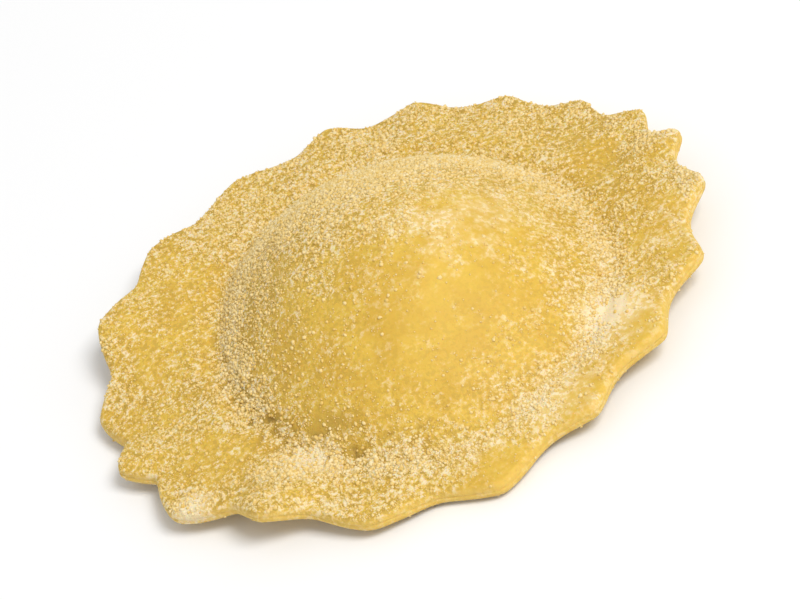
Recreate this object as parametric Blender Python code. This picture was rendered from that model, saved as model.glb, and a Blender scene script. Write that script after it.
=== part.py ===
"""One fresh round raviolo: two sheets of egg pasta pressed together round a mound of filling.

The sheets are cut with a fluted edge of nineteen uneven teeth, and the raviolo lies on the flat
underside of its filling. X runs along its length, Z is up, and the origin is on the table, under
the middle of its outline.
"""

import bmesh
import bpy
import numpy as np

MM = 0.001

# The fluted outline. Its oval runs through the notches between the teeth.
NOTCH_HALF_LENGTH = 33.0 * MM
NOTCH_HALF_WIDTH = 30.0 * MM
FIRST_NOTCH_DEG = -176.5
# Each tooth, anticlockwise from the left end: the angle it takes, how far its tip stands out and
# how far the rim is bent up or down there.
TEETH_DEG_MM_MM = (
    (13.5, 2.2, 0.5),
    (22, 2.7, 0.5),
    (16, 1.8, 2.6),
    (25, 1.8, 0.1),
    (25, 2.3, -0.6),
    (19, 1.8, 0.9),
    (20, 2.0, 1.7),
    (18, 2.0, 2.0),
    (17, 2.1, 2.7),
    (12, 2.0, 2.5),
    (15, 1.8, 0.7),
    (15, 1.3, -0.5),
    (19, 1.3, -0.6),
    (20, 1.6, 0.2),
    (18, 1.7, 0.7),
    (25, 1.7, 0.8),
    (21, 1.7, 1.9),
    (21.5, 1.8, 2.7),
    (18, 1.9, -0.3),
)
# How straight a tooth's flanks are, from 0 for a soft wave to 1 for a zigzag.
FLANK_STRAIGHTNESS = 0.9
TOOTH_SHARPNESS = 1.15
SHARPNESS_SWING = 0.35
TOOTH_CUP = 0.35 * MM
TEETH_FROM_SHARE = 0.5

# The pressed pasta round the filling. The levels are those of the middle of its thickness.
PASTA_THICKNESS = 2.0 * MM
FOOT_LEVEL = 3.3 * MM
RIM_LEVEL = 1.9 * MM
CUT_EDGE_ROUNDING = 0.55 * MM

# The mound of filling under the top sheet.
MOUND_CENTRE_X = 0.8 * MM
MOUND_CENTRE_Y = -1.7 * MM
MOUND_RADIUS = 21.9 * MM
MOUND_HEIGHT = 11.0 * MM
MOUND_FULLNESS = 2.0
MOUND_FILLET = 1.15
# The foot is a little uneven: how many swells it has round it, how high each swell is as a share
# of the radius, and the direction of the first one.
MOUND_SWELLS = (
    (2, 0.06, -78.0),
    (3, 0.015, -13.0),
)
GROOVE_DEPTH = 0.55 * MM
GROOVE_SHARE = 1.05
GROOVE_WIDTH = 0.06
FLAT_BASE_SHARE = 0.68

# Lumps and dents of the top sheet: place along X and Y, height (a dent's is below 0), and radius.
LUMPS_MM = (
    (-7.0, 5.0, 0.45, 6.5),
    (7.5, -5.0, 0.40, 6.0),
    (1.5, 11.0, -0.35, 5.0),
    (-8.0, -7.5, -0.30, 5.0),
    (24.5, -8.0, -0.45, 2.6),
    (24.0, -13.5, -0.35, 2.2),
    (26.5, 3.5, -0.30, 2.4),
    (-26.0, -4.0, -0.30, 2.8),
    (-13.5, -23.5, -0.30, 2.4),
    (6.0, 26.5, -0.30, 2.6),
)

# How the surface is divided. The table gives some of the rings, counted from the cut edge in to
# the mound's middle, and where each lies: 0 is the mound's middle, 1 its foot and 2 the cut edge.
POINTS_A_TOOTH = 8
RINGS_TO_THE_MIDDLE = 18
CUT_EDGE_PLACE = 2.0
RING_PLACES = (
    (0, CUT_EDGE_PLACE),
    (1, 1.99),
    (2, 1.96),
    (6, 1.36),
    (9, 1.06),
    (12, 0.82),
    (18, 0.0),
)

PASTA_YELLOW = (0.80, 0.52, 0.12, 1.0)
PASTA_ROUGHNESS = 0.7


def ease(t):
    """A step from 0 to 1 that is level at both ends."""
    t = np.clip(t, 0.0, 1.0)
    return t * t * (3.0 - 2.0 * t)


def bump(distance, width):
    """A round bump of height 1, which has all but faded at twice its width."""
    return np.exp(-((distance / width) ** 2))


def notch_angles():
    """The direction of each notch from the centre, once round and back to the first one."""
    spans = [tooth[0] for tooth in TEETH_DEG_MM_MM]
    return np.radians(FIRST_NOTCH_DEG + np.concatenate([[0.0], np.cumsum(spans)]))


def tooth_crest(tooth_place, angle):
    """0 in the notches and 1 at the tips. The tips are sharper at +X than at -X."""
    turn = 2.0 * np.pi * tooth_place
    wave = np.arcsin(FLANK_STRAIGHTNESS * np.cos(turn)) / np.arcsin(FLANK_STRAIGHTNESS)
    sharpness = TOOTH_SHARPNESS + SHARPNESS_SWING * np.cos(angle)
    return (0.5 - 0.5 * wave) ** sharpness


def tooth_depth(tooth_place):
    """How far the tip of the tooth at this place stands out."""
    depths = np.array([tooth[1] for tooth in TEETH_DEG_MM_MM]) * MM
    return depths[np.floor(tooth_place).astype(int) % len(depths)]


def rim_lift(tooth_place):
    """How far the rim is bent up, which runs smoothly from one tooth's middle to the next."""
    lifts = np.array([tooth[2] for tooth in TEETH_DEG_MM_MM]) * MM
    before = np.floor(tooth_place - 0.5).astype(int)
    blend = ease(tooth_place - 0.5 - before)
    return lifts[before % len(lifts)] * (1.0 - blend) + lifts[(before + 1) % len(lifts)] * blend


def notch_oval(angle):
    """The distance from the centre to the oval through the notches."""
    return 1.0 / np.hypot(np.cos(angle) / NOTCH_HALF_LENGTH, np.sin(angle) / NOTCH_HALF_WIDTH)


def mound_foot(angle):
    """The distance from the mound's middle to its foot, which swells in and out a little."""
    uneven = 1.0
    for swells, height, direction in MOUND_SWELLS:
        uneven = uneven + height * np.cos(swells * (angle - np.radians(direction)))
    return MOUND_RADIUS * uneven


def mound_share(x, y):
    """The distance from the mound's middle, as a share of the distance to its foot."""
    dx = x - MOUND_CENTRE_X
    dy = y - MOUND_CENTRE_Y
    return np.hypot(dx, dy) / mound_foot(np.arctan2(dy, dx))


def teeth_grown(outward):
    """How much of the teeth shows: none near the foot, where outward is 0, and all at the rim."""
    return ease((outward - TEETH_FROM_SHARE) / (1.0 - TEETH_FROM_SHARE))


def plan(tooth_place, angle, ring_place):
    """Where a point lies seen from above: on the mound, or between its foot and the cut edge."""
    outward = np.maximum(ring_place - 1.0, 0.0)
    foot = mound_foot(angle) * np.minimum(ring_place, 1.0)
    tooth = tooth_depth(tooth_place) * tooth_crest(tooth_place, angle) * teeth_grown(outward)
    radius = foot * (1.0 - outward) + notch_oval(angle) * outward + tooth
    x = MOUND_CENTRE_X * (1.0 - outward) + radius * np.cos(angle)
    y = MOUND_CENTRE_Y * (1.0 - outward) + radius * np.sin(angle)
    return x, y


def mound_height(x, y):
    """The filling's rise over the flange: full on top, and hollow where it meets the flange."""
    share = np.clip(mound_share(x, y), 0.0, 1.0)
    return MOUND_HEIGHT * (1.0 - share**MOUND_FULLNESS) ** MOUND_FILLET


def flange_middle(tooth_place, angle, ring_place):
    """The height of the middle of the pressed pasta, from the filling's foot out to the rim."""
    outward = np.maximum(ring_place - 1.0, 0.0)
    cupped = TOOTH_CUP * (tooth_crest(tooth_place, angle) - 0.5) * teeth_grown(outward)
    rim = RIM_LEVEL + rim_lift(tooth_place)
    return FOOT_LEVEL + (rim - FOOT_LEVEL) * ease(outward) + cupped


def top_relief(x, y):
    """The marks on the top sheet: a groove pressed in at the mound's foot, lumps and dents."""
    relief = -GROOVE_DEPTH * bump(mound_share(x, y) - GROOVE_SHARE, GROOVE_WIDTH)
    for lump_x, lump_y, height, radius in LUMPS_MM:
        relief += height * MM * bump(np.hypot(x / MM - lump_x, y / MM - lump_y), radius)
    return relief


def edge_fullness(distance):
    """How much of its thickness the pasta has at a distance from the cut edge, from 0 to 1."""
    inward = np.clip(distance / CUT_EDGE_ROUNDING, 0.0, 1.0)
    return np.sqrt(1.0 - (1.0 - inward) ** 2)


def raviolo_points(sphere):
    """Takes the points of a ball of radius 1 to the raviolo: its equator becomes the cut edge.

    A point's place round the rim is counted in teeth, so that 3.5 is the tip of the fourth tooth.
    """
    teeth = len(TEETH_DEG_MM_MM)
    turn = np.arctan2(sphere[:, 1], sphere[:, 0]) / (2.0 * np.pi) % 1.0
    tooth_place = np.round(turn * teeth * POINTS_A_TOOTH) / POINTS_A_TOOTH % teeth
    angle = np.interp(tooth_place, np.arange(teeth + 1), notch_angles())
    latitude = np.arcsin(np.clip(np.abs(sphere[:, 2]), 0.0, 1.0))
    rings_in = latitude / (np.pi / 2.0) * RINGS_TO_THE_MIDDLE
    ring_place = np.interp(rings_in, *np.transpose(RING_PLACES))
    x, y = plan(tooth_place, angle, ring_place)
    edge_x, edge_y = plan(tooth_place, angle, CUT_EDGE_PLACE)
    fullness = edge_fullness(np.hypot(edge_x - x, edge_y - y))
    middle = flange_middle(tooth_place, angle, ring_place)
    half_thickness = PASTA_THICKNESS / 2.0 * fullness
    top = middle + half_thickness + mound_height(x, y) + top_relief(x, y) * fullness
    off_the_table = ease((mound_share(x, y) - FLAT_BASE_SHARE) / (1.0 - FLAT_BASE_SHARE))
    bottom = (middle - half_thickness) * off_the_table
    return np.column_stack([x, y, np.where(sphere[:, 2] >= 0.0, top, bottom)])


def on_the_origin(points):
    """Moves the points sideways, so that the middle of their box is over the origin."""
    middle = (points.min(axis=0) + points.max(axis=0)) / 2.0
    return points - [middle[0], middle[1], 0.0]


def pasta_material():
    material = bpy.data.materials.new("egg_pasta")
    material.use_nodes = True
    shader = material.node_tree.nodes["Principled BSDF"]
    shader.inputs["Base Color"].default_value = PASTA_YELLOW
    shader.inputs["Roughness"].default_value = PASTA_ROUGHNESS
    shader.inputs["Metallic"].default_value = 0.0
    return material


def make_raviolo(collection):
    """The whole raviolo as one closed solid, shaped from a ball."""
    ball = bmesh.new()
    around = POINTS_A_TOOTH * len(TEETH_DEG_MM_MM)
    rings = 2 * RINGS_TO_THE_MIDDLE
    bmesh.ops.create_uvsphere(ball, u_segments=around, v_segments=rings, radius=1.0)
    mesh = bpy.data.meshes.new("raviolo")
    ball.to_mesh(mesh)
    ball.free()
    points = np.empty(len(mesh.vertices) * 3)
    mesh.vertices.foreach_get("co", points)
    points = on_the_origin(raviolo_points(points.reshape(-1, 3)))
    mesh.vertices.foreach_set("co", points.ravel())
    mesh.update()
    mesh.shade_smooth()
    mesh.materials.append(pasta_material())
    raviolo = bpy.data.objects.new("raviolo", mesh)
    collection.objects.link(raviolo)
    return raviolo


def clear_scene():
    for obj in list(bpy.data.objects):
        bpy.data.objects.remove(obj)


def main():
    clear_scene()
    collection = bpy.data.collections.new("raviolo_parts")
    bpy.context.scene.collection.children.link(collection)
    make_raviolo(collection)


main()
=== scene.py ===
# %% [markdown]
# One fresh raviolo, dusted with semolina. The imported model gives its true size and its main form:
# two sheets of egg pasta pressed together round a mound of filling, with a fluted edge. This lesson
# makes the surface that a camera sees: the skin of the dough with its cut edge, the semolina that
# sticks to it, the flour that cakes round the foot of the mound, and a soft studio to look at it in.

import bpy
import numpy as np
from mathutils import Matrix, Vector
from mathutils.bvhtree import BVHTree


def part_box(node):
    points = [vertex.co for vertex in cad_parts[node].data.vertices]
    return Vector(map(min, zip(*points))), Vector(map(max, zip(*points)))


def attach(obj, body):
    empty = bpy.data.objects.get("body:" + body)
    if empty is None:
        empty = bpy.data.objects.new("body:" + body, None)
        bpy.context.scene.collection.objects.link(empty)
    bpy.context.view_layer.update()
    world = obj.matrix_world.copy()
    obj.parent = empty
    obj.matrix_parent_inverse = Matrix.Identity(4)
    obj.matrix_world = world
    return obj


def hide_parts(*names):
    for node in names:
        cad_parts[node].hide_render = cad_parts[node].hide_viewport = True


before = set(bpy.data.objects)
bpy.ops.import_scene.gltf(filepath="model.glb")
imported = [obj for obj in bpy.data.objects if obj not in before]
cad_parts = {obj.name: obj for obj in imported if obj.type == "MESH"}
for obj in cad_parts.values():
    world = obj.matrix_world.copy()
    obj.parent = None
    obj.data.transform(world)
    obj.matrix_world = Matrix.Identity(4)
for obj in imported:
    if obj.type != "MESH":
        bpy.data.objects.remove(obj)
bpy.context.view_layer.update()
MM = 0.001
low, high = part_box("raviolo")
print("the solid measures", [round((b - a) / MM, 1) for a, b in zip(low, high)], "mm")

# %% [markdown]
# The camera stands where the photographer stood: 40 degrees above the table and 45 cm away, with a
# long lens. It is rolled, so that the raviolo's long way across rises to the right. The three axes
# of the camera are written out, because that is clearer than three angles: right, up and back.

# %% Set up the camera
CAMERA_ELEVATION = np.radians(40.0)
CAMERA_ROLL = np.radians(25.0)
CAMERA_DISTANCE = 450.0 * MM
LENS_MM = 190.0
SENSOR_MM = 36.0
NEAREST_SEEN = 0.01
FARTHEST_SEEN = 20.0
VIEW_CENTRE = Vector((0.0, 0.0, 3.0 * MM))


def camera_axes(elevation, roll):
    """Right, up and back of a camera that looks along +Y and down, turned clockwise by roll."""
    back = np.array([0.0, -np.cos(elevation), np.sin(elevation)])
    level_up = np.array([0.0, np.sin(elevation), np.cos(elevation)])
    level_right = np.array([1.0, 0.0, 0.0])
    right = np.cos(roll) * level_right - np.sin(roll) * level_up
    up = np.sin(roll) * level_right + np.cos(roll) * level_up
    return right, up, back


def make_camera():
    """The scene's camera, turned by the three axes and moved back from the view's centre."""
    data = bpy.data.cameras.new("studio_camera")
    data.lens = LENS_MM
    data.sensor_width = SENSOR_MM
    data.clip_start = NEAREST_SEEN
    data.clip_end = FARTHEST_SEEN
    camera = bpy.data.objects.new("studio_camera", data)
    bpy.context.scene.collection.objects.link(camera)
    axes = np.column_stack(camera_axes(CAMERA_ELEVATION, CAMERA_ROLL))
    camera.matrix_world = Matrix(axes.tolist()).to_4x4()
    camera.location = VIEW_CENTRE + Vector(axes[:, 2]) * CAMERA_DISTANCE
    bpy.context.scene.camera = camera


make_camera()
print("the camera stands", round(CAMERA_DISTANCE / MM), "mm from the view's centre")

# %% [markdown]
# The plan of the raviolo. A place on it has two numbers. The first counts round the rim in teeth, so
# that 3.5 is the tip of the fourth tooth. The second is 0 at the middle of the mound, 1 at its foot
# and 2 at the cut edge. These functions are the ones that shaped the solid, so the skin fits it.

# %% The fluted outline
NOTCH_HALF_LENGTH = 33.0 * MM
NOTCH_HALF_WIDTH = 30.0 * MM
FIRST_NOTCH_DEG = -176.5
# Each tooth, anticlockwise from the left end: the angle it takes, how far its tip stands out and
# how far the rim is bent up or down there.
TEETH_DEG_MM_MM = (
    (13.5, 2.2, 0.5),
    (22, 2.7, 0.5),
    (16, 1.8, 2.6),
    (25, 1.8, 0.1),
    (25, 2.3, -0.6),
    (19, 1.8, 0.9),
    (20, 2.0, 1.7),
    (18, 2.0, 2.0),
    (17, 2.1, 2.7),
    (12, 2.0, 2.5),
    (15, 1.8, 0.7),
    (15, 1.3, -0.5),
    (19, 1.3, -0.6),
    (20, 1.6, 0.2),
    (18, 1.7, 0.7),
    (25, 1.7, 0.8),
    (21, 1.7, 1.9),
    (21.5, 1.8, 2.7),
    (18, 1.9, -0.3),
)
TEETH = len(TEETH_DEG_MM_MM)
SPANS_DEG, TOOTH_DEPTHS_MM, RIM_LIFTS_MM = np.transpose(TEETH_DEG_MM_MM)
NOTCH_ANGLES = np.radians(FIRST_NOTCH_DEG + np.concatenate([[0.0], np.cumsum(SPANS_DEG)]))
FLANK_STRAIGHTNESS = 0.9
TOOTH_SHARPNESS = 1.15
SHARPNESS_SWING = 0.35
TEETH_FROM_SHARE = 0.5


def ease(t):
    """A step from 0 to 1 that is level at both ends: 3 t squared less 2 t cubed."""
    t = np.clip(t, 0.0, 1.0)
    return t * t * (3.0 - 2.0 * t)


def bump(distance, width):
    """A round bump of height 1: e to the power of minus the squared distance in widths."""
    return np.exp(-((distance / width) ** 2))


def tooth_crest(tooth_place, angle):
    """0 in the notches and 1 at the tips: a wave between a cosine and a zigzag, raised to a power."""
    wave = np.arcsin(FLANK_STRAIGHTNESS * np.cos(2.0 * np.pi * tooth_place))
    wave = wave / np.arcsin(FLANK_STRAIGHTNESS)
    return (0.5 - 0.5 * wave) ** (TOOTH_SHARPNESS + SHARPNESS_SWING * np.cos(angle))


def rim_lift(tooth_place):
    """How far the rim is bent up: eased from one tooth's middle to the next."""
    before = np.floor(tooth_place - 0.5).astype(int)
    blend = ease(tooth_place - 0.5 - before)
    lifts = RIM_LIFTS_MM * MM
    return lifts[before % TEETH] * (1.0 - blend) + lifts[(before + 1) % TEETH] * blend


def notch_oval(angle):
    """The distance from the centre to the oval through the notches, by the ellipse's equation."""
    return 1.0 / np.hypot(np.cos(angle) / NOTCH_HALF_LENGTH, np.sin(angle) / NOTCH_HALF_WIDTH)


print("the rim has", TEETH, "teeth, and they take", float(SPANS_DEG.sum()), "degrees")

# %% The mound's foot, and the plan of the whole
MOUND_CENTRE_X = 0.8 * MM
MOUND_CENTRE_Y = -1.7 * MM
MOUND_RADIUS = 21.9 * MM
MOUND_SWELLS = (
    (2, 0.06, -78.0),
    (3, 0.015, -13.0),
)


def mound_foot(angle):
    """The distance from the mound's middle to its foot: a circle with two low cosine swells."""
    uneven = 1.0
    for swells, height, direction in MOUND_SWELLS:
        uneven = uneven + height * np.cos(swells * (angle - np.radians(direction)))
    return MOUND_RADIUS * uneven


def mound_share(x, y):
    """The distance from the mound's middle, as a share of the distance to its foot."""
    dx = x - MOUND_CENTRE_X
    dy = y - MOUND_CENTRE_Y
    return np.hypot(dx, dy) / mound_foot(np.arctan2(dy, dx))


def plan(tooth_place, angle, ring_place):
    """Seen from above: rings round the mound's middle, blended outside the foot into the fluted rim."""
    outward = np.maximum(ring_place - 1.0, 0.0)
    grown = ease((outward - TEETH_FROM_SHARE) / (1.0 - TEETH_FROM_SHARE))
    depth = TOOTH_DEPTHS_MM[np.floor(tooth_place).astype(int) % TEETH] * MM
    tooth = depth * tooth_crest(tooth_place, angle) * grown
    foot = mound_foot(angle) * np.minimum(ring_place, 1.0)
    radius = foot * (1.0 - outward) + notch_oval(angle) * outward + tooth
    x = MOUND_CENTRE_X * (1.0 - outward) + radius * np.cos(angle)
    y = MOUND_CENTRE_Y * (1.0 - outward) + radius * np.sin(angle)
    return x, y


# %% The heights of the mound and the flange
PASTA_THICKNESS = 2.0 * MM
FOOT_LEVEL = 3.3 * MM
RIM_LEVEL = 1.9 * MM
TOOTH_CUP = 0.35 * MM
MOUND_HEIGHT = 11.0 * MM
MOUND_FULLNESS = 2.0
MOUND_FILLET = 1.15
GROOVE_DEPTH = 0.55 * MM
GROOVE_SHARE = 1.05
GROOVE_WIDTH = 0.06
FLAT_BASE_SHARE = 0.68
# Place along X and Y, height and radius of each lump, in mm. A dent's height is below 0.
LUMPS_MM = (
    (-7.0, 5.0, 0.45, 6.5),
    (7.5, -5.0, 0.40, 6.0),
    (1.5, 11.0, -0.35, 5.0),
    (-8.0, -7.5, -0.30, 5.0),
    (24.5, -8.0, -0.45, 2.6),
    (24.0, -13.5, -0.35, 2.2),
    (26.5, 3.5, -0.30, 2.4),
    (-26.0, -4.0, -0.30, 2.8),
    (-13.5, -23.5, -0.30, 2.4),
    (6.0, 26.5, -0.30, 2.6),
)


def mound_height(x, y):
    """The filling's rise over the flange: one less the share to a power, all to another power."""
    share = np.clip(mound_share(x, y), 0.0, 1.0)
    return MOUND_HEIGHT * (1.0 - share**MOUND_FULLNESS) ** MOUND_FILLET


def flange_middle(tooth_place, angle, ring_place):
    """The middle of the pressed pasta: eased from the foot's level to the rim's, with cupped teeth."""
    outward = np.maximum(ring_place - 1.0, 0.0)
    grown = ease((outward - TEETH_FROM_SHARE) / (1.0 - TEETH_FROM_SHARE))
    cupped = TOOTH_CUP * (tooth_crest(tooth_place, angle) - 0.5) * grown
    rim = RIM_LEVEL + rim_lift(tooth_place)
    return FOOT_LEVEL + (rim - FOOT_LEVEL) * ease(outward) + cupped


def large_relief(x, y):
    """The groove round the mound's foot, and the lumps and dents, each a bump."""
    relief = -GROOVE_DEPTH * bump(mound_share(x, y) - GROOVE_SHARE, GROOVE_WIDTH)
    for lump_x, lump_y, height, radius in LUMPS_MM:
        relief += height * MM * bump(np.hypot(x / MM - lump_x, y / MM - lump_y), radius)
    return relief


top_level = FOOT_LEVEL + PASTA_THICKNESS / 2.0 + MOUND_HEIGHT
print("the mound rises to", round(top_level / MM, 1), "mm above the table, without its lumps")

# %% [markdown]
# Dough is never smooth. Its skin has swells from the rolling pin and a leathery grain, and the flour
# on it frays, cakes into crumbs and cracks. One noise function makes them all at different sizes. It
# gives each corner of a grid of cubes a random direction, and blends the slopes of the eight corners
# round a point. The directions come from whole-number arithmetic on the corner's place, so each run
# gives the same.

# %% Noise for the dough
HASH_FACTORS = np.array([374761393, 668265263, 1274126177], dtype=np.int64)
HASH_SEED_FACTOR = 922337203
HASH_MIX_FACTOR = 1103515245
LOW_32_BITS = 0xFFFFFFFF
# The grid is turned away from the raviolo's own axes, so that no pattern lines up with them.
GRID_TURN_ANGLE = 0.7
GRID_TURN_AXIS = Vector((1.0, 2.0, 3.0))
GRID_TURN = np.array(Matrix.Rotation(GRID_TURN_ANGLE, 3, GRID_TURN_AXIS))
# The blended slopes alone are weaker than 1, and this brings them to about 1.
NOISE_GAIN = 1.7


def hashed(cell, seed):
    """A repeatable number from 0 to 1 for each cell: products and shifts that scramble its place."""
    mixed = (cell @ HASH_FACTORS + seed * HASH_SEED_FACTOR) & LOW_32_BITS
    mixed = ((mixed ^ (mixed >> 15)) * HASH_MIX_FACTOR) & LOW_32_BITS
    mixed = ((mixed ^ (mixed >> 13)) * HASH_MIX_FACTOR) & LOW_32_BITS
    return (mixed ^ (mixed >> 16)) / LOW_32_BITS


def random_direction(cell, seed):
    """An even random direction for each cell, from its height and its turn on a ball."""
    height = 2.0 * hashed(cell, seed) - 1.0
    turn = 2.0 * np.pi * hashed(cell, seed + 1)
    flat = np.sqrt(1.0 - height**2)
    return np.stack([flat * np.cos(turn), flat * np.sin(turn), height], axis=-1)


def noise(points, size, seed):
    """Smooth swells from about -1 to 1, each about size across.

    The corners' slopes are blended by 6 t to the fifth, less 15 t to the fourth, plus 10 t cubed.
    """
    scaled = points @ GRID_TURN.T / size
    cell = np.floor(scaled).astype(np.int64)
    offset = scaled - cell
    blend = offset**3 * (offset * (offset * 6.0 - 15.0) + 10.0)
    total = np.zeros(len(points))
    for corner in np.ndindex(2, 2, 2):
        away = offset - corner
        weight = np.prod(np.where(corner, blend, 1.0 - blend), axis=1)
        total += weight * np.sum(random_direction(cell + corner, seed) * away, axis=1)
    return NOISE_GAIN * total


def sum_of_noises(points, kinds):
    """The sum of several noises, each with its height, its size across and its seed."""
    return sum(height * noise(points, size, seed) for height, size, seed in kinds)


# %% [markdown]
# Where the flour lies, and where the grains are. Two maps say this. The first is how thick the flour
# lies: a thin veil everywhere, thicker on the far shoulder of the mound, and caked in the groove
# round its foot, most of all at the left and the near side. It is a sum of the veil, a band that
# follows the foot, round patches, and noise that frays them all. The second map is how grainy the
# surface is. The near side of the mound and the near flange were touched last, so they are smooth
# there, and in the thickest cakes the grains are buried in fine powder.

# %% The map of the flour
FLOUR_EVERYWHERE = 0.25
# Place along X and Y, amount and radius of each patch, in mm. A bare patch's amount is below 0.
FLOUR_PATCHES_MM = (
    (2.0, 11.0, 0.25, 11.0),
    (-8.0, 15.0, 0.12, 7.0),
    (-20.0, -3.5, 0.20, 5.0),
    (-15.9, -18.4, 0.70, 3.5),
    (-8.3, -23.0, 0.26, 3.2),
    (-1.0, -27.0, 0.10, 3.0),
    (-28.2, -17.0, 0.85, 2.5),
    (19.4, -17.2, 0.78, 3.6),
    (8.0, -25.0, 0.24, 2.8),
    (16.3, -21.2, 0.34, 2.4),
    (21.5, -13.0, -0.14, 2.4),
    (0.0, 27.5, 0.03, 5.0),
    (-2.0, -18.5, -0.30, 8.5),
    (-12.5, -13.5, -0.20, 5.5),
    (10.5, -15.5, -0.24, 6.5),
    (-11.5, -5.5, -0.28, 7.0),
    (24.8, 6.0, -0.22, 5.0),
    (22.5, -3.0, -0.19, 3.5),
    (17.0, 18.0, -0.10, 7.0),
    (-22.0, 17.0, -0.22, 5.5),
    (-24.5, -13.5, -0.28, 4.5),
    (-28.0, 1.0, -0.15, 8.0),
    (-25.0, 9.5, -0.12, 5.0),
    (7.5, -5.0, 0.12, 7.5),
    (14.0, -2.0, 0.06, 5.5),
    (29.5, -8.0, -0.12, 5.0),
    (3.0, -30.5, -0.14, 5.0),
    (20.5, -25.0, -0.10, 4.5),
    (2.0, 31.0, -0.08, 6.0),
    (33.0, 5.5, 0.42, 3.2),
    (33.5, -4.5, 0.42, 3.0),
    (32.0, -12.0, 0.20, 3.0),
)
BAND_AMOUNT = 0.38
BAND_WIDTH = 0.085
# The band lies a little inside the foot at the far side, and outside it at the near side.
BAND_SHARE = 0.98
BAND_TO_LEFT = -0.01
BAND_TO_NEAR = 0.10
# Height, size across and seed of each noise that frays the flour, and of the one for the grains.
FLOUR_FRAYS = (
    (0.17, 4.0 * MM, 21),
    (0.13, 1.5 * MM, 23),
)
GRAINY_FRAY = (0.12, 3.0 * MM, 25)
# Place along X and Y, how smooth it is there, and radius of each smooth place, in mm.
SMOOTH_PLACES_MM = (
    (7.0, -9.0, 0.75, 11.0),
    (-2.0, -15.0, 0.35, 7.0),
    (12.0, -3.0, 0.50, 5.5),
    (2.0, -31.0, 0.75, 5.0),
    (12.0, -28.0, 0.85, 5.5),
    (22.0, -22.0, 0.85, 6.5),
    (30.0, -11.0, 0.75, 5.5),
    (-15.9, -18.2, 0.70, 2.9),
    (-28.2, -17.0, 0.75, 2.5),
    (19.4, -17.2, 0.45, 3.0),
    (32.5, 4.0, 0.45, 4.0),
)
UNDERSIDE_SMOOTHNESS = 0.4
LEAST_GRAINY = 0.06


def sum_of_bumps(x, y, places):
    """The sum of round bumps, each with its place, height and radius."""
    total = np.zeros(len(x))
    for place_x, place_y, height, radius in places:
        total += height * bump(np.hypot(x / MM - place_x, y / MM - place_y), radius)
    return total


def direction_from_mound(x, y):
    """The angle at which a place lies, seen from the mound's middle."""
    return np.arctan2(y - MOUND_CENTRE_Y, x - MOUND_CENTRE_X)


def flour_amount(points, dusted):
    """How thick the flour lies, from 0 to 1: the veil, the band and the patches, frayed by noise.

    The band and the patches are held to where dusted is 1: the top, and the edge down to its seam.
    """
    x, y = points[:, 0], points[:, 1]
    angle = direction_from_mound(x, y)
    band_share = BAND_SHARE - BAND_TO_LEFT * np.cos(angle) - BAND_TO_NEAR * np.sin(angle)
    band = BAND_AMOUNT * bump(mound_share(x, y) - band_share, BAND_WIDTH)
    patches = sum_of_bumps(x, y, FLOUR_PATCHES_MM)
    frayed = sum_of_noises(points, FLOUR_FRAYS)
    return np.clip(FLOUR_EVERYWHERE + (band + patches) * dusted + frayed, 0.0, 1.0)


def graininess(points, upper):
    """How grainy the surface is, from 0 to 1: 1 less how smooth it is, frayed by noise.

    The smooth places lie on the top, where upper is 1. The underside is evenly a little smoother.
    """
    x, y = points[:, 0], points[:, 1]
    smooth = sum_of_bumps(x, y, SMOOTH_PLACES_MM) * upper + UNDERSIDE_SMOOTHNESS * (1.0 - upper)
    frayed = sum_of_noises(points, (GRAINY_FRAY,))
    return np.clip(1.0 - smooth - frayed, LEAST_GRAINY, 1.0)


# %% [markdown]
# The small relief: low swells of the dough, crumbly lumps where the flour cakes, and at the left and
# near side of the mound's foot short cracks and pits in that caked flour. A bump in the material
# could fake them, but they would vanish at the outline and in the exported meshes. So they are real
# heights, small enough to leave the main form alone.

# %% The swells, the crumbs, the cracks and the pits
# Height, size across and seed of each kind of swell in the dough.
DOUGH_SWELLS = (
    (0.16 * MM, 7.0 * MM, 1),
    (0.09 * MM, 3.0 * MM, 3),
    (0.045 * MM, 1.3 * MM, 5),
)
# The crumbs rise where the flour is thicker than CAKED_FROM, and fully from CAKED_RANGE above it.
CAKED_FLOUR_HEIGHT = 0.18 * MM
CAKED_FROM = 0.35
CAKED_RANGE = 0.5
# Share of that height, size across and seed of each kind of crumb.
CRUMBS = (
    (1.0, 1.1 * MM, 7),
    (0.6, 0.6 * MM, 9),
)
# The cracks in the caked flour: place along X and Y, half length, half width and depth of each, in
# mm. Each runs along the foot, and its depth also sets the painted shade in it. The sixth, wide and
# shallow, is a soft dent that lays a broad patch of painted shade on the foot.
CRACKS_MM = (
    (-20.4, 2.2, 0.8, 0.30, 0.26),
    (-18.9, -4.6, 1.3, 0.30, 0.42),
    (-17.3, -10.8, 1.6, 0.34, 0.55),
    (-15.6, -14.0, 0.8, 0.30, 0.40),
    (-13.2, -16.6, 1.7, 0.36, 0.50),
    (-11.8, -17.0, 3.0, 1.05, 0.26),
    (-10.5, -20.6, 1.1, 0.36, 0.50),
    (-7.0, -21.6, 0.7, 0.30, 0.40),
    (-3.6, -22.7, 1.3, 0.28, 0.30),
)
# Height, size across and seed of the noise that makes a crack's course ragged.
CRACK_WANDER = (0.7 * MM, 1.2 * MM, 13)
# A crack or a pit of this depth or more has its full painted shade: the dough there is mixed fully to
# DOUGH_SHADE.
FULL_SHADE_DEPTH = 0.45 * MM
# Small pits between the grains, on a stretch of the foot round this direction. Like the cracks, they
# darken the dough with painted shade.
PIT_DEPTH = 0.30 * MM
PIT_SIZE = 0.95 * MM
PIT_SEED = 27
PITS_DIRECTION_DEG = -155.0
PITS_SPREAD_DEG = 58.0
PITS_SHARE = 1.04
PITS_WIDTH = 0.10
# A pit begins where its noise passes the first number, and is full the second number above that.
PIT_FROM = 0.12
PIT_RANGE = 0.3


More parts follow.
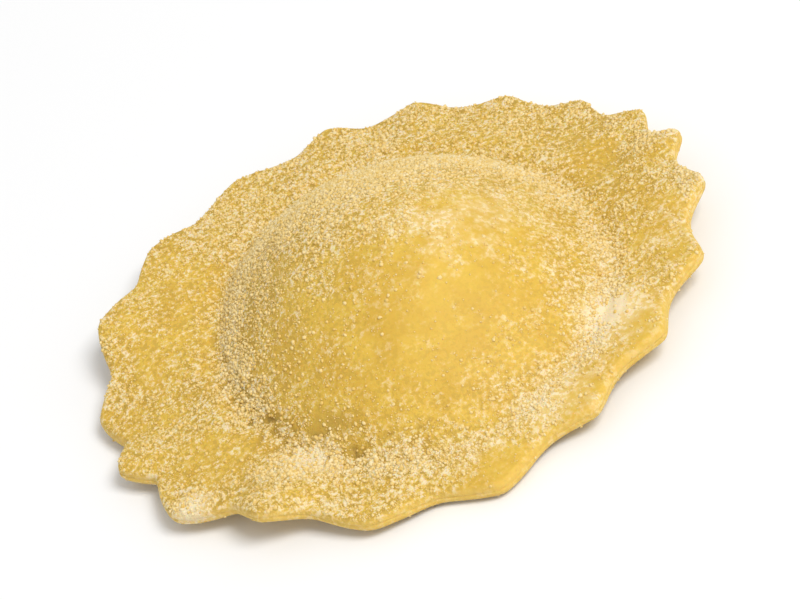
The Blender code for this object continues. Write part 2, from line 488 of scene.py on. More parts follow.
def crack_depth(points):
    """The depth of the cracks: long thin bumps along the foot, with a ragged course."""
    shift = sum_of_noises(points, (CRACK_WANDER,))
    depth = np.zeros(len(points))
    for crack_x, crack_y, half_length, half_width, deepest in CRACKS_MM:
        dx = points[:, 0] - crack_x * MM
        dy = points[:, 1] - crack_y * MM
        out = np.array([crack_x * MM - MOUND_CENTRE_X, crack_y * MM - MOUND_CENTRE_Y])
        out /= np.hypot(*out)
        across = dx * out[0] + dy * out[1] + shift
        along = dy * out[0] - dx * out[1]
        mark = bump(across, half_width * MM) * bump(along, half_length * MM)
        depth = np.maximum(depth, deepest * MM * mark)
    return depth


def pit_depth(points):
    """The depth of the pits: the crests of a fine noise, faded out along the foot and across it."""
    x, y = points[:, 0], points[:, 1]
    turned = direction_from_mound(x, y) - np.radians(PITS_DIRECTION_DEG)
    turned = np.arctan2(np.sin(turned), np.cos(turned))
    stretch = bump(turned, np.radians(PITS_SPREAD_DEG))
    stretch = stretch * bump(mound_share(x, y) - PITS_SHARE, PITS_WIDTH)
    crests = ease((noise(points, PIT_SIZE, PIT_SEED) - PIT_FROM) / PIT_RANGE)
    return PIT_DEPTH * stretch * crests


def small_relief(points, flour):
    """Swells of three sizes, and crumbs: noise folded up at 0, as high as the flour is caked."""
    caked = ease((flour - CAKED_FROM) / CAKED_RANGE)
    crumbly = sum(share * np.abs(noise(points, size, seed)) for share, size, seed in CRUMBS)
    return sum_of_noises(points, DOUGH_SWELLS) + CAKED_FLOUR_HEIGHT * caked * crumbly


# %% [markdown]
# The skin is one closed surface: a profile that runs from the middle of the underside out to the cut
# edge, round that edge and back over the top to the middle of the mound, carried once round the rim.
# The cut edge is a soft half round, and it shows that there are two sheets: a fine seam between
# them, with one sheet standing out a little further here and the other there. So the profile has
# rows of its own for the edge.

# %% The profile of the skin
AROUND_A_TOOTH = 34
AROUND = TEETH * AROUND_A_TOOTH
EDGE_DEPTH = 0.60 * MM
FIRST_ROW_INSET = 1.0 * MM
SEAM_DEPTH = 0.10 * MM
SEAM_WIDTH = 0.10
SHEET_OFFSET = 0.10 * MM
EDGE_LEVELS_DEG = (0.0, 6.0, 14.0, 26.0, 40.0, 55.0, 72.0, 90.0)
UNDER_MOUND_ROWS = 9
UNDER_FLANGE_ROWS = 14
TOP_FLANGE_ROWS = 31
TOP_MOUND_ROWS = 77
# The last ring on each side stops a little short of the mound's middle, and a pole closes it.
UNDER_LAST_PLACE = 1.9
TOP_LAST_PLACE = 1.986


def profile_rows():
    """Each row's place inside the edge, its level in the pasta's thickness, and if it is on the edge.

    The place is 0 at the cut edge, 1 at the mound's foot and 2 at its middle. The level is -1 on the
    underside and 1 on the top, and it follows a sine over the half round of the cut edge.
    """
    under_mound = np.linspace(UNDER_LAST_PLACE, 1.0, UNDER_MOUND_ROWS)
    under_flange = np.linspace(1.0, 0.0, UNDER_FLANGE_ROWS)
    under = np.concatenate([under_mound, under_flange[1:]])
    top_flange = np.linspace(0.0, 1.0, TOP_FLANGE_ROWS)
    top_mound = np.linspace(1.0, TOP_LAST_PLACE, TOP_MOUND_ROWS)
    top = np.concatenate([top_flange, top_mound[1:]])
    levels = np.sin(np.radians(EDGE_LEVELS_DEG))
    levels = np.concatenate([-levels[::-1], levels[1:]])
    place = np.concatenate([under, np.zeros(len(levels)), top])
    level = np.concatenate([np.full(len(under), -1.0), levels, np.ones(len(top))])
    on_edge = np.concatenate([np.zeros(len(under)), np.ones(len(levels)), np.zeros(len(top))])
    return place, level, on_edge > 0.5


PLACE, LEVEL, ON_EDGE = profile_rows()
ROWS = len(PLACE)
print("the skin's profile has", ROWS, "rows, carried round", AROUND, "places")

# %% The surface of the skin
# Two waves say which sheet stands out more: a long one, with its number of waves round the rim and
# its phase, and a short one, with its turn in radians from one tooth to the next.
LONG_WAVES = 5.0
LONG_WAVE_PHASE = 0.7
SHORT_WAVE_TURN = 2.9
# The underside takes this share of the small relief.
UNDERSIDE_RELIEF = 0.5
# The solid has this many points round the rim for each tooth.
SOLID_POINTS_A_TOOTH = 8


def edge_inset(level, tooth_place):
    """How far the cut edge stands back: a half round, the seam, and sheets that are cut unevenly."""
    half_round = EDGE_DEPTH * (1.0 - np.sqrt(np.maximum(1.0 - level**2, 0.0)))
    seam = SEAM_DEPTH * bump(level, SEAM_WIDTH)
    ripple = np.sin(2.0 * np.pi * tooth_place / TEETH * LONG_WAVES + LONG_WAVE_PHASE)
    ripple = ripple + np.sin(tooth_place * SHORT_WAVE_TURN)
    uneven = SHEET_OFFSET * (0.5 + 0.25 * ripple * np.sign(level)) * (1.0 - level**2)
    return half_round + seam + uneven


def outline_normal(x, y):
    """The direction out of a closed outline, from the line between each point's two neighbours."""
    along_x = np.roll(x, -1) - np.roll(x, 1)
    along_y = np.roll(y, -1) - np.roll(y, 1)
    length = np.hypot(along_x, along_y)
    return along_y / length, -along_x / length


def skin_points():
    """The skin's grid of points: one row of the profile after another, each once round the rim.

    The height is the pasta's middle plus half its thickness times the level, and on the top the
    mound as well. The first row inside the cut edge lies the same distance from it all round, so
    that no row crosses the half round where the flange is narrow.
    """
    tooth_place = np.arange(AROUND) / AROUND_A_TOOTH
    angle = np.interp(tooth_place, np.arange(TEETH + 1), NOTCH_ANGLES)
    edge_x, edge_y = plan(tooth_place, angle, np.full(AROUND, 2.0))
    foot_x, foot_y = plan(tooth_place, angle, np.full(AROUND, 1.0))
    first = FIRST_ROW_INSET / np.hypot(edge_x - foot_x, edge_y - foot_y)
    t, place = np.meshgrid(tooth_place, PLACE)
    a, level = np.meshgrid(angle, LEVEL)
    inside = np.where(place < 1.0, first + (1.0 - first) * place, place)
    ring = 2.0 - np.where(ON_EDGE[:, None], 0.0, inside)
    x, y = plan(t, a, ring)
    out_x, out_y = outline_normal(edge_x, edge_y)
    inset = edge_inset(level, t) * ON_EDGE[:, None]
    x = x - inset * out_x
    y = y - inset * out_y
    middle = flange_middle(t, a, ring)
    half = PASTA_THICKNESS / 2.0
    top = middle + half * level + mound_height(x, y)
    off_the_table = ease((mound_share(x, y) - FLAT_BASE_SHARE) / (1.0 - FLAT_BASE_SHARE))
    bottom = (middle + half * level) * off_the_table
    z = np.where(level > 0.0, top, bottom)
    return x, y, z, off_the_table


def centre_of_solid():
    """The middle of the solid's box, which lies a little off the middle of the notches' oval."""
    tooth_place = np.arange(TEETH * SOLID_POINTS_A_TOOTH) / SOLID_POINTS_A_TOOTH
    angle = np.interp(tooth_place, np.arange(TEETH + 1), NOTCH_ANGLES)
    x, y = plan(tooth_place, angle, np.full(len(angle), 2.0))
    return (x.min() + x.max()) / 2.0, (y.min() + y.max()) / 2.0


def dressed_skin():
    """The skin with its relief, moved over the origin, and the three maps at each point.

    Three masks come from the level: upper rises from the seam to the top, dusted from the underside
    to the seam, and lower is the underside less the flat spot that lies on the table.
    """
    x, y, z, off_the_table = skin_points()
    upper = np.repeat(np.clip(LEVEL, 0.0, 1.0), AROUND)
    dusted = np.repeat(np.clip(LEVEL + 1.0, 0.0, 1.0), AROUND)
    lower = np.clip(-LEVEL, 0.0, 1.0)[:, None] * off_the_table
    points = np.stack([x, y, z], axis=-1).reshape(-1, 3)
    flour = flour_amount(points, dusted)
    grainy = graininess(points, upper)
    cracks = np.maximum(crack_depth(points), pit_depth(points)) * upper
    fine = small_relief(points, flour)
    relief = large_relief(x, y).ravel() + fine
    points[:, 2] += relief * upper + UNDERSIDE_RELIEF * fine * lower.ravel() - cracks
    points[:, 2] = np.maximum(points[:, 2], 0.0)
    points[:, :2] -= centre_of_solid()
    # The last map is the depth of the cracks and pits against FULL_SHADE_DEPTH, and it sets their
    # painted shade.
    return points, flour, grainy, np.minimum(cracks / FULL_SHADE_DEPTH, 1.0)


points, flour, grainy, cracks = dressed_skin()
print("flour lies at", round(float(flour.mean()), 2), "of full thickness on average")

# %% Put the skin in a mesh
# The map of the cut is 1 at the seam, and fades to 0 at both skins by this power of the level.
CUT_FADE_POWER = 3


def grid_faces(rows, around):
    """Quads between neighbouring rows, and a fan of triangles to a pole at each end.

    The poles are the two points after the grid: first the underside's, then the top's.
    """
    row, step = np.meshgrid(np.arange(rows - 1), np.arange(around), indexing="ij")
    ahead = (step + 1) % around
    quads = np.stack([row * around + step, row * around + ahead, (row + 1) * around + ahead,
                      (row + 1) * around + step], axis=-1).reshape(-1, 4)
    step = np.arange(around)
    ahead = (step + 1) % around
    last = (rows - 1) * around
    under = np.stack([ahead, step, np.full(around, rows * around)], axis=-1)
    over = np.stack([last + step, last + ahead, np.full(around, rows * around + 1)], axis=-1)
    return quads, np.concatenate([under, over])


def mesh_from_arrays(name, vertices, quads, triangles):
    """A mesh from whole arrays, by foreach_set."""
    mesh = bpy.data.meshes.new(name)
    mesh.vertices.add(len(vertices))
    mesh.vertices.foreach_set("co", np.asarray(vertices, np.float32).ravel())
    mesh.loops.add(quads.size + triangles.size)
    corners = np.concatenate([quads.ravel(), triangles.ravel()])
    mesh.loops.foreach_set("vertex_index", corners.astype(np.int32))
    mesh.polygons.add(len(quads) + len(triangles))
    starts = np.concatenate([np.arange(len(quads)) * 4, quads.size + np.arange(len(triangles)) * 3])
    mesh.polygons.foreach_set("loop_start", starts.astype(np.int32))
    mesh.update(calc_edges=True)
    mesh.validate()
    return mesh


def add_attribute(mesh, name, values):
    """A number for each point, which a material can read by name."""
    attribute = mesh.attributes.new(name, "FLOAT", "POINT")
    attribute.data.foreach_set("value", np.asarray(values, np.float32))


def make_piece(mesh):
    """An object at the origin that rides on the raviolo's body."""
    piece = bpy.data.objects.new(mesh.name, mesh)
    bpy.context.scene.collection.objects.link(piece)
    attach(piece, "root")
    return piece


def row_mean(values, row):
    """The mean of one row of the grid, for the pole beside it."""
    return values[row * AROUND : (row + 1) * AROUND].mean(axis=0)


quads, triangles = grid_faces(ROWS, AROUND)
vertices = np.vstack([points, row_mean(points, 0), row_mean(points, ROWS - 1)])
flour_at, grainy_at, cracks_at = (
    np.append(values, [row_mean(values, 0), row_mean(values, ROWS - 1)])
    for values in (flour, grainy, cracks)
)
cut_rows = ON_EDGE * (1.0 - np.abs(LEVEL) ** CUT_FADE_POWER)
cut_at = np.append(np.repeat(cut_rows, AROUND), [0.0, 0.0])
skin_mesh = mesh_from_arrays("raviolo_skin", vertices, quads, triangles)
skin_mesh.shade_smooth()
for name, values in (("flour", flour_at), ("grainy", grainy_at), ("crack", cracks_at),
                     ("cut", cut_at)):
    add_attribute(skin_mesh, name, values)
skin = make_piece(skin_mesh)
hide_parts("raviolo")
print("raviolo_skin has", 2 * len(quads) + len(triangles), "triangles")

# %% Measure how well the skin fits the solid
# One point in this many is measured.
CHECK_EVERY = 29
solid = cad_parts["raviolo"]
solid_tree = BVHTree.FromPolygons(
    [v.co for v in solid.data.vertices], [p.vertices for p in solid.data.polygons]
)
distances = [solid_tree.find_nearest(Vector(p))[3] / MM for p in vertices[::CHECK_EVERY]]
print("the skin is within", round(max(distances), 2), "mm of the solid, on average",
      round(float(np.mean(distances)), 2))

# %% [markdown]
# The semolina. Each grain is a real one: a small angular solid that sits in the dough to nearly half
# its depth. A grain needs few faces, but there are thousands, so all the grains of one kind are one
# mesh, made by turning, stretching and moving copies of one shape with whole arrays. Where a grain
# lies is drawn at random, and a place is more likely where the flour is thick.

# %% Small shapes for the grains
# Lengths this small count as 0, and edges that differ by less than this factor count as equal.
TINY = 1e-6
EDGE_TOLERANCE = 1.01
GOLDEN = (1.0 + np.sqrt(5.0)) / 2.0
OCTAHEDRON = np.array([[1, 0, 0], [-1, 0, 0], [0, 1, 0], [0, -1, 0], [0, 0, 1], [0, 0, -1]], float)
ICOSAHEDRON = np.array(
    [[0, side, tip] for side in (-1, 1) for tip in (-GOLDEN, GOLDEN)]
    + [[side, tip, 0] for side in (-1, 1) for tip in (-GOLDEN, GOLDEN)]
    + [[tip, 0, side] for side in (-1, 1) for tip in (-GOLDEN, GOLDEN)]
) / np.hypot(1.0, GOLDEN)


def hull_faces(corners):
    """The triangles of a regular solid: each three corners that are all a shortest edge apart."""
    apart = np.linalg.norm(corners[:, None] - corners[None], axis=-1)
    edge = apart[apart > TINY].min() * EDGE_TOLERANCE
    count = len(corners)
    picks = np.array([(i, j, k) for i in range(count) for j in range(i) for k in range(j)])
    i, j, k = picks.T
    picks = picks[(apart[i, j] < edge) & (apart[j, k] < edge) & (apart[i, k] < edge)]
    a, b, c = (corners[picks[:, n]] for n in range(3))
    inward = np.sum(np.cross(b - a, c - a) * (a + b + c), axis=1) < 0.0
    picks[inward] = picks[inward][:, ::-1]
    return picks


OCTAHEDRON_FACES = hull_faces(OCTAHEDRON)
ICOSAHEDRON_FACES = hull_faces(ICOSAHEDRON)
print("a fine grain has", len(OCTAHEDRON_FACES), "faces, a coarse one", len(ICOSAHEDRON_FACES))

# %% Scatter places over the skin
# No grain lies lower than this, so that none is pressed through the table.
LOWEST_GRAIN = 0.35 * MM
# Places with little flour where yellow semolina still lies: place along X and Y, density and radius
# of each, in mm.
SANDY_PLACES_MM = (
    (-13.0, -8.5, 0.08, 6.0),
    (-8.0, -17.0, 0.05, 4.0),
)
# A quad this small, in square metres, has no sure normal.
SMALLEST_AREA = 1e-12


def quad_frame():
    """The middle, normal and area of each quad, from its two diagonals."""
    a, b, c, d = (vertices[quads[:, n]] for n in range(4))
    cross = np.cross(c - a, d - b)
    length = np.linalg.norm(cross, axis=1)
    return (a + b + c + d) / 4.0, cross / np.maximum(length, SMALLEST_AREA)[:, None], length / 2.0


MIDDLES, NORMALS, AREAS = quad_frame()
QUAD_FLOUR = flour_at[quads].mean(axis=1)
QUAD_GRAINY = grainy_at[quads].mean(axis=1)
QUAD_BARE = np.maximum(cut_at[quads].mean(axis=1), cracks_at[quads].mean(axis=1))
QUAD_SANDY = sum_of_bumps(MIDDLES[:, 0], MIDDLES[:, 1], SANDY_PLACES_MM)


def scatter(draw, count, density):
    """Random places on the skin: a quad by its area times its density, and a point in that quad."""
    reach = np.cumsum(AREAS * density)
    chosen = np.searchsorted(reach, draw.random(count) * reach[-1])
    u, v = draw.random((2, count, 1))
    a, b, c, d = (vertices[quads[chosen, n]] for n in range(4))
    place = (a * (1 - u) + b * u) * (1 - v) + (d * (1 - u) + c * u) * v
    kept = place[:, 2] > LOWEST_GRAIN
    return place[kept], NORMALS[chosen][kept], QUAD_FLOUR[chosen][kept]


# %% Make all the grains of one kind
# The least and the most that a grain is stretched along each of its own axes.
STRETCH = (0.72, 1.2)
# A grain's tone runs from 0 to 1 in thick flour, and up to this where there is none.
TONE_WITHOUT_FLOUR = 0.5


def random_turns(draw, count):
    """Even random rotations, each from a quaternion of four normal numbers scaled to length 1."""
    q = draw.normal(size=(count, 4))
    w, x, y, z = (q / np.linalg.norm(q, axis=1, keepdims=True)).T
    rows = [
        [1 - 2 * (y * y + z * z), 2 * (x * y - w * z), 2 * (x * z + w * y)],
        [2 * (x * y + w * z), 1 - 2 * (x * x + z * z), 2 * (y * z - w * x)],
        [2 * (x * z - w * y), 2 * (y * z + w * x), 1 - 2 * (x * x + y * y)],
    ]
    return np.moveaxis(np.array(rows), -1, 0)


def grain_mesh(name, draw, places, normals, thick, radii, corners, faces, jitter, sunk):
    """Copies of one shape, each jittered, stretched, turned and moved along the skin's normal.

    The share sunk of each grain's depth is in the dough, and thick is the flour's thickness there.
    """
    count = len(places)
    shape = corners[None] * (1.0 + jitter * draw.uniform(-1.0, 1.0, (count, len(corners), 1)))
    shape = shape * draw.uniform(*STRETCH, (count, 1, 3)) * radii[:, None, None]
    shape = np.einsum("nij,nkj->nki", random_turns(draw, count), shape)
    centre = places + normals * (radii * (1.0 - 2.0 * sunk))[:, None]
    made = (shape + centre[:, None]).reshape(-1, 3)
    triangles = (faces[None] + len(corners) * np.arange(count)[:, None, None]).reshape(-1, 3)
    mesh = mesh_from_arrays(name, made, np.empty((0, 4), int), triangles)
    tone = draw.random(count) * (TONE_WITHOUT_FLOUR + (1.0 - TONE_WITHOUT_FLOUR) * thick)
    add_attribute(mesh, "tone", np.repeat(tone, len(corners)))
    print(name, "has", count, "grains and", len(triangles), "triangles")
    return mesh


# %% Where the grains stick
# The underside took up less semolina than the top.
UNDERSIDE_SHARE = 0.25
# How strongly a bare place, on the cut or in a crack, sheds the grains, and the share that stays.
BARE_SHEDS = 1.2
LEAST_ON_BARE = 0.02
on_top = np.where(NORMALS[:, 2] > 0.0, 1.0, UNDERSIDE_SHARE)
grain_share = on_top * QUAD_GRAINY * np.clip(1.0 - BARE_SHEDS * QUAD_BARE, LEAST_ON_BARE, 1.0)

# %% The fine semolina
FINE_COUNT = 24500
FINE_SEED = 11
FINE_RADIUS = (0.08 * MM, 0.15 * MM)
FINE_JITTER = 0.25
FINE_SUNK = 0.45
FINE_EVERYWHERE = 0.05
draw = np.random.default_rng(FINE_SEED)
density = (FINE_EVERYWHERE + QUAD_FLOUR + QUAD_SANDY) * grain_share
places, normals, thick = scatter(draw, FINE_COUNT, density)
radii = draw.uniform(*FINE_RADIUS, len(places))
fine = grain_mesh("semolina_fine", draw, places, normals, thick, radii,
                  OCTAHEDRON, OCTAHEDRON_FACES, FINE_JITTER, FINE_SUNK)
make_piece(fine)

# %% The coarse semolina
# The density rises with a power of the flour, so these keep to its thick places more than the fine.
COARSE_COUNT = 9600
COARSE_SEED = 12
COARSE_RADIUS = (0.14 * MM, 0.25 * MM)
COARSE_JITTER = 0.22
COARSE_SUNK = 0.48
COARSE_EVERYWHERE = 0.012
COARSE_POWER = 1.5
COARSE_SANDY = 0.5
draw = np.random.default_rng(COARSE_SEED)
density = (COARSE_EVERYWHERE + QUAD_FLOUR**COARSE_POWER + COARSE_SANDY * QUAD_SANDY) * grain_share
places, normals, thick = scatter(draw, COARSE_COUNT, density)
radii = draw.uniform(*COARSE_RADIUS, len(places))
coarse = grain_mesh("semolina_coarse", draw, places, normals, thick, radii,
                    ICOSAHEDRON, ICOSAHEDRON_FACES, COARSE_JITTER, COARSE_SUNK)
make_piece(coarse)

# %% [markdown]
# Two finishes share one effect. Flour and dough are never one colour: there are pale and deep flecks
# at the size of a grain, and slow drifts over a few millimetres. That mottle is a node group, built
# once, and each material sets its own sizes on it. It reads Object coordinates, so that it stays on
# the raviolo, and it puts out two masks from 0 to 1.

# %% Helpers for node trees


def add_node(tree, kind, values=(), **settings):
    """A node with its settings, and with values set on its inputs by name."""
    node = tree.nodes.new(kind)
    for name, value in settings.items():
        setattr(node, name, value)
    for name, value in dict(values).items():
        node.inputs[name].default_value = value
    return node


def mix_colours(tree, factor, first, second):
    """A mix of two colours by a factor. Each may be a socket or a plain colour."""
    mix = add_node(tree, "ShaderNodeMix", data_type="RGBA")
    tree.links.new(factor, mix.inputs["Factor"])
    colour_inputs = [s for s in mix.inputs if s.type == "RGBA"]
    for socket, colour in zip(colour_inputs, (first, second)):
        if isinstance(colour, bpy.types.NodeSocket):
            tree.links.new(colour, socket)
        else:
            socket.default_value = (*colour, 1.0)
    return next(s for s in mix.outputs if s.type == "RGBA")


def remap(tree, value, low_in, high_in, low_out=0.0, high_out=1.0):
    """A value taken from one range to another with an eased step, and held inside it."""
    node = add_node(tree, "ShaderNodeMapRange", interpolation_type="SMOOTHSTEP")
    tree.links.new(value, node.inputs["Value"])
    for name, number in (("From Min", low_in), ("From Max", high_in), ("To Min", low_out),
                         ("To Max", high_out)):
        node.inputs[name].default_value = number
    return node.outputs["Result"]


def calculate(tree, operation, first, second):
    """One sum, product or the like of two values. Each may be a socket or a plain number."""
    node = add_node(tree, "ShaderNodeMath", operation=operation)
    for socket, value in zip(node.inputs, (first, second)):
        if isinstance(value, bpy.types.NodeSocket):
            tree.links.new(value, socket)
        else:
            socket.default_value = value
    return node.outputs["Value"]


# %% The mottle that both finishes use
MM_IN_A_METRE = 1000.0
FLECK_DETAIL = 2.0
DRIFT_DETAIL = 3.0
PATTERN_ROUGHNESS = 0.6
# The noise texture keeps near 0.5, so this part of its range is spread to run from 0 to 1.
PATTERN_RANGE = (0.34, 0.66)


def make_mottle_group():
    """Flecks at the size of a grain, and drifts over several millimetres, as masks from 0 to 1."""
    group = bpy.data.node_groups.new("grain_mottle", "ShaderNodeTree")
    for name in ("Fleck Size mm", "Drift Size mm"):
        group.interface.new_socket(name, in_out="INPUT", socket_type="NodeSocketFloat")
    for name in ("Fleck", "Drift"):
        group.interface.new_socket(name, in_out="OUTPUT", socket_type="NodeSocketFloat")
    inside = add_node(group, "NodeGroupInput")
    outside = add_node(group, "NodeGroupOutput")
    place = add_node(group, "ShaderNodeTexCoord").outputs["Object"]
    for mask, detail in (("Fleck", FLECK_DETAIL), ("Drift", DRIFT_DETAIL)):
        scale = calculate(group, "DIVIDE", MM_IN_A_METRE, inside.outputs[mask + " Size mm"])
        pattern = add_node(group, "ShaderNodeTexNoise",
                           {"Detail": detail, "Roughness": PATTERN_ROUGHNESS})
        group.links.new(place, pattern.inputs["Vector"])
        group.links.new(scale, pattern.inputs["Scale"])
        spread = remap(group, pattern.outputs["Fac"], *PATTERN_RANGE)
        group.links.new(spread, outside.inputs[mask])
    return group


mottle_group = make_mottle_group()


def place_mottle(tree, fleck_mm, drift_mm):
    """The mottle's two masks in a material, at that material's sizes."""
    node = add_node(tree, "ShaderNodeGroup", node_tree=mottle_group)
    node.inputs["Fleck Size mm"].default_value = fleck_mm
    node.inputs["Drift Size mm"].default_value = drift_mm
    return node.outputs["Fleck"], node.outputs["Drift"]


# %% [markdown]
# The finish of the dough. Fresh egg dough is a deep warm yellow that lets some light in, so it has
# subsurface scattering. Flour turns it pale and dull: the more flour, the more of a cream colour
# covers the yellow, in flecks first and all over at last. Between the flecks and down in the cracks
# and pits the yellow is darkened towards brown: painted shade. The cut edge is a clearer yellow
# where no flour lies on it.

# %% The colours of the dough
DOUGH_YELLOW = (0.76, 0.50, 0.070)
DOUGH_DEEP = (0.69, 0.43, 0.055)
# The brown of the painted shade, between the grains and in the cracks and pits.
DOUGH_SHADE = (0.42, 0.26, 0.05)
# Painted shade, for the shadows between the grains, lies in the gaps between the flecks, up to this
# value of the flecks and this strong. It is as deep as the flour is thick, plus the last number.
SHADE_GAP = 0.45
SHADE_STRENGTH = 0.8
SHADE_WITHOUT_FLOUR = 0.50


def attribute_value(tree, name):
    """A map that the mesh carries at its points, as a value for the material."""
    return add_node(tree, "ShaderNodeAttribute", attribute_name=name).outputs["Fac"]


def dough_colour(tree, fleck, drift, flour_value, grainy_value, crack_value):
    """Two yellows by the drift, with painted shade between the grains and in the cracks and pits."""
    dough = mix_colours(tree, drift, DOUGH_DEEP, DOUGH_YELLOW)
    gaps = remap(tree, fleck, 0.0, SHADE_GAP, SHADE_STRENGTH, 0.0)
    shaded = calculate(tree, "ADD", flour_value, SHADE_WITHOUT_FLOUR)
    shaded = calculate(tree, "MULTIPLY", shaded, gaps)
    shaded = calculate(tree, "MULTIPLY", shaded, grainy_value)
    shaded = calculate(tree, "MAXIMUM", shaded, crack_value)
    return mix_colours(tree, shaded, dough, DOUGH_SHADE)


# %% The colour and the cover of the flour
FLOUR_CREAM = (0.82, 0.60, 0.235)
FLOUR_WHITE = (0.91, 0.76, 0.48)
# The flour begins to turn from cream to white at this value of the flecks, and of its thickness.
WHITE_FROM_FLECK = 0.3
WHITE_FROM_FLOUR = 0.7
# How strongly the speckle, and the patches, break up the cover. Each swings about its middle.
FLECK_BREAK = 0.75
PATCH_BREAK = 0.27
SPECKLE_MIDDLE = 0.68
PATCH_MIDDLE = 0.5
GRIT_IN_SPECKLE = 0.35
# The dough is bare up to the first value of the cover, and hidden from the second.
COVER_RANGE = (0.05, 0.75)


def flour_colour(tree, fleck, flour_value):
    """Cream that turns white in the brightest flecks, and where the flour is thickest."""
    cream = mix_colours(tree, remap(tree, fleck, WHITE_FROM_FLECK, 1.0), FLOUR_CREAM, FLOUR_WHITE)
    return mix_colours(tree, remap(tree, flour_value, WHITE_FROM_FLOUR, 1.0), cream, FLOUR_WHITE)


def flour_cover(tree, fleck, grit, patch, flour_value, grainy_value, crack_value):
    """How far the flour hides the dough: its thickness plus speckle and blotches, less the cracks."""
    speckle = calculate(tree, "ADD", calculate(tree, "MULTIPLY", grit, GRIT_IN_SPECKLE), fleck)
    speckle = calculate(tree, "SUBTRACT", speckle, SPECKLE_MIDDLE)
    speckle = calculate(tree, "MULTIPLY", speckle, grainy_value)
    speckle = calculate(tree, "MULTIPLY", speckle, FLECK_BREAK)
    blotch = calculate(tree, "SUBTRACT", patch, PATCH_MIDDLE)
    blotch = calculate(tree, "MULTIPLY", blotch, PATCH_BREAK)
    cover = calculate(tree, "ADD", calculate(tree, "ADD", flour_value, speckle), blotch)
    cover = calculate(tree, "SUBTRACT", cover, crack_value)
    return remap(tree, cover, *COVER_RANGE)


# %% The grit that is too fine for grains
BUMP_STRENGTH = 0.8
BUMP_DISTANCE = 0.16 * MM
GRIT_IN_BUMP = 0.5
BUMP_WITHOUT_FLOUR = 0.25


def fine_grit(tree, fleck, grit, flour_value, grainy_value):
    """A bumpy normal: flecks plus grit, times the flour's thickness and how grainy the place is."""
    height = calculate(tree, "ADD", calculate(tree, "MULTIPLY", grit, GRIT_IN_BUMP), fleck)
    floured = calculate(tree, "ADD", flour_value, BUMP_WITHOUT_FLOUR)
    height = calculate(tree, "MULTIPLY", height, floured)
    height = calculate(tree, "MULTIPLY", height, grainy_value)
    relief = add_node(tree, "ShaderNodeBump",
                      {"Strength": BUMP_STRENGTH, "Distance": BUMP_DISTANCE})
    tree.links.new(height, relief.inputs["Height"])
    return relief.outputs["Normal"]


# %% The finish of the dough
CUT_YELLOW = (0.80, 0.54, 0.12)
CUT_STRENGTH = 0.8
# Sizes in mm, across, of the flecks and the drifts, and of the grit and the patches.
FLECK_MM = 0.55
DRIFT_MM = 5.0
GRIT_MM = 0.24
PATCH_MM = 1.4
# The roughness rises from bare dough to a cover of this value or more.
BARE_ROUGHNESS = 0.58
FLOURED_ROUGHNESS = 0.92
ROUGHEST_COVER = 0.8
DOUGH_SPECULAR = 0.35
# Light goes furthest into the dough in red, then in green, and least in blue.
SUBSURFACE_WEIGHT = 0.30
SUBSURFACE_REACH = (1.0, 0.55, 0.16)
SUBSURFACE_SCALE = 0.7 * MM


def make_dough_material():
    """Yellow dough, covered in flecks where the flour is thin and all over where it is thick."""
    material = bpy.data.materials.new("egg_dough_finish")
    material.use_nodes = True
    tree = material.node_tree
    shader = tree.nodes["Principled BSDF"]
    flour_value, grainy_value, crack_value, cut_value = (
        attribute_value(tree, name) for name in ("flour", "grainy", "crack", "cut")
    )
    fleck, drift = place_mottle(tree, FLECK_MM, DRIFT_MM)
    grit, patch = place_mottle(tree, GRIT_MM, PATCH_MM)
    dough = dough_colour(tree, fleck, drift, flour_value, grainy_value, crack_value)
    cream = flour_colour(tree, fleck, flour_value)
    covered = flour_cover(tree, fleck, grit, patch, flour_value, grainy_value, crack_value)
    colour = mix_colours(tree, covered, dough, cream)
    bare_cut = calculate(tree, "SUBTRACT", cut_value, flour_value)
    bare_cut = calculate(tree, "MULTIPLY", bare_cut, CUT_STRENGTH)
    colour = mix_colours(tree, bare_cut, colour, CUT_YELLOW)
    roughness = remap(tree, covered, 0.0, ROUGHEST_COVER, BARE_ROUGHNESS, FLOURED_ROUGHNESS)
    normal = fine_grit(tree, fleck, grit, flour_value, grainy_value)
    tree.links.new(colour, shader.inputs["Base Color"])
    tree.links.new(roughness, shader.inputs["Roughness"])
    tree.links.new(normal, shader.inputs["Normal"])
    shader.inputs["Specular IOR Level"].default_value = DOUGH_SPECULAR
    shader.inputs["Subsurface Weight"].default_value = SUBSURFACE_WEIGHT
    shader.inputs["Subsurface Radius"].default_value = SUBSURFACE_REACH
    shader.inputs["Subsurface Scale"].default_value = SUBSURFACE_SCALE
    return material


dough_finish = make_dough_material()
skin.data.materials.append(dough_finish)
print(dough_finish.name, "has", len(dough_finish.node_tree.nodes), "nodes")

# %% [markdown]
# The finish of the semolina. Milled wheat breaks into clear yellow pieces and chalky white ones, and
# flour dusts them both. Each grain carries a tone of its own on its points, and one material turns
# the tone into a colour, so that thousands of grains differ with no more than one finish.

# %% The finish of the semolina
GRAIN_DEEP = (0.77, 0.51, 0.11)
GRAIN_CREAM = (0.86, 0.65, 0.255)
GRAIN_WHITE = (0.90, 0.76, 0.46)
# The tones at which a grain is quite cream and quite white.
CREAM_TONE = 0.40
WHITE_TONE = 0.90
GRAIN_FLECK_MM = 0.12
GRAIN_DRIFT_MM = 6.0
GRAIN_FLECK_STRENGTH = 0.25
GRAIN_ROUGHNESS = (0.55, 0.8)
GRAIN_SPECULAR = 0.4


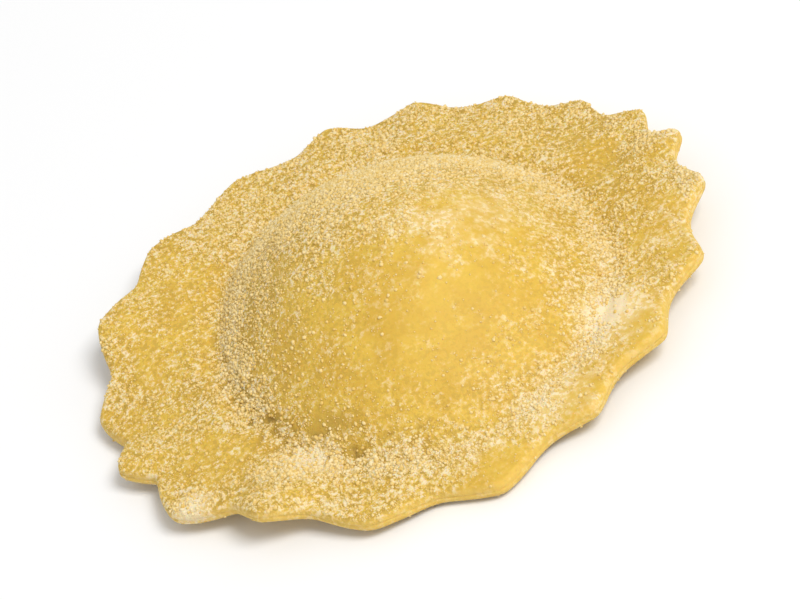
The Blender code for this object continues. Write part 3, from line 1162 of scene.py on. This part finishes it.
def make_semolina_material():
    """Each grain has a tone of its own, from a clear yellow through cream to a chalky white."""
    material = bpy.data.materials.new("semolina_finish")
    material.use_nodes = True
    tree = material.node_tree
    shader = tree.nodes["Principled BSDF"]
    tone = attribute_value(tree, "tone")
    fleck, drift = place_mottle(tree, GRAIN_FLECK_MM, GRAIN_DRIFT_MM)
    colour = mix_colours(tree, remap(tree, tone, 0.0, CREAM_TONE), GRAIN_DEEP, GRAIN_CREAM)
    colour = mix_colours(tree, remap(tree, tone, CREAM_TONE, WHITE_TONE), colour, GRAIN_WHITE)
    flecks = calculate(tree, "MULTIPLY", fleck, GRAIN_FLECK_STRENGTH)
    colour = mix_colours(tree, flecks, colour, GRAIN_WHITE)
    tree.links.new(colour, shader.inputs["Base Color"])
    tree.links.new(remap(tree, drift, 0.0, 1.0, *GRAIN_ROUGHNESS), shader.inputs["Roughness"])
    shader.inputs["Specular IOR Level"].default_value = GRAIN_SPECULAR
    return material


semolina_finish = make_semolina_material()
fine.materials.append(semolina_finish)
coarse.materials.append(semolina_finish)

# %% [markdown]
# The studio: a plain near-white table under a large soft light, and a pale world that fills the
# shadows. The light stands high on the right and toward the camera, so that the left and far sides
# of the mound are in gentle shade.

# %% The table and the lights
TABLE_SIZE = 6.0
TABLE_WHITE = (0.96, 0.96, 0.96, 1.0)
TABLE_ROUGHNESS = 0.8
TABLE_SPECULAR = 0.1
KEY_DIRECTION = (0.40, -0.45, 0.82)
KEY_DISTANCE = 1.5
KEY_SIZE = 0.58
KEY_WATTS = 14.8
WORLD_WHITE = (1.0, 1.0, 1.0, 1.0)
WORLD_STRENGTH = 0.565


def make_table():
    """One large square at the level that the raviolo lies on, as part of the stage."""
    mesh = bpy.data.meshes.new("white_table")
    half = TABLE_SIZE / 2.0
    corners = [(-half, -half, 0.0), (half, -half, 0.0), (half, half, 0.0), (-half, half, 0.0)]
    mesh.from_pydata(corners, [], [(0, 1, 2, 3)])
    material = bpy.data.materials.new("white_table_finish")
    material.use_nodes = True
    shader = material.node_tree.nodes["Principled BSDF"]
    shader.inputs["Base Color"].default_value = TABLE_WHITE
    shader.inputs["Roughness"].default_value = TABLE_ROUGHNESS
    shader.inputs["Specular IOR Level"].default_value = TABLE_SPECULAR
    mesh.materials.append(material)
    table = bpy.data.objects.new("white_table", mesh)
    bpy.context.scene.collection.objects.link(table)


def make_key_light():
    """A square soft light that faces the raviolo from its direction."""
    data = bpy.data.lights.new("key_light", "AREA")
    data.size = KEY_SIZE
    data.energy = KEY_WATTS
    light = bpy.data.objects.new("key_light", data)
    bpy.context.scene.collection.objects.link(light)
    towards = Vector(KEY_DIRECTION).normalized()
    light.location = towards * KEY_DISTANCE
    light.rotation_mode = "QUATERNION"
    light.rotation_quaternion = towards.to_track_quat("Z", "Y")


def make_world():
    """A pale world that lights the raviolo evenly from all sides."""
    world = bpy.data.worlds.new("pale_world")
    world.use_nodes = True
    background = world.node_tree.nodes["Background"]
    background.inputs["Color"].default_value = WORLD_WHITE
    background.inputs["Strength"].default_value = WORLD_STRENGTH
    bpy.context.scene.world = world


make_table()
make_key_light()
make_world()
# The plain transform keeps the colours of the finishes as they are.
bpy.context.scene.view_settings.view_transform = "Standard"
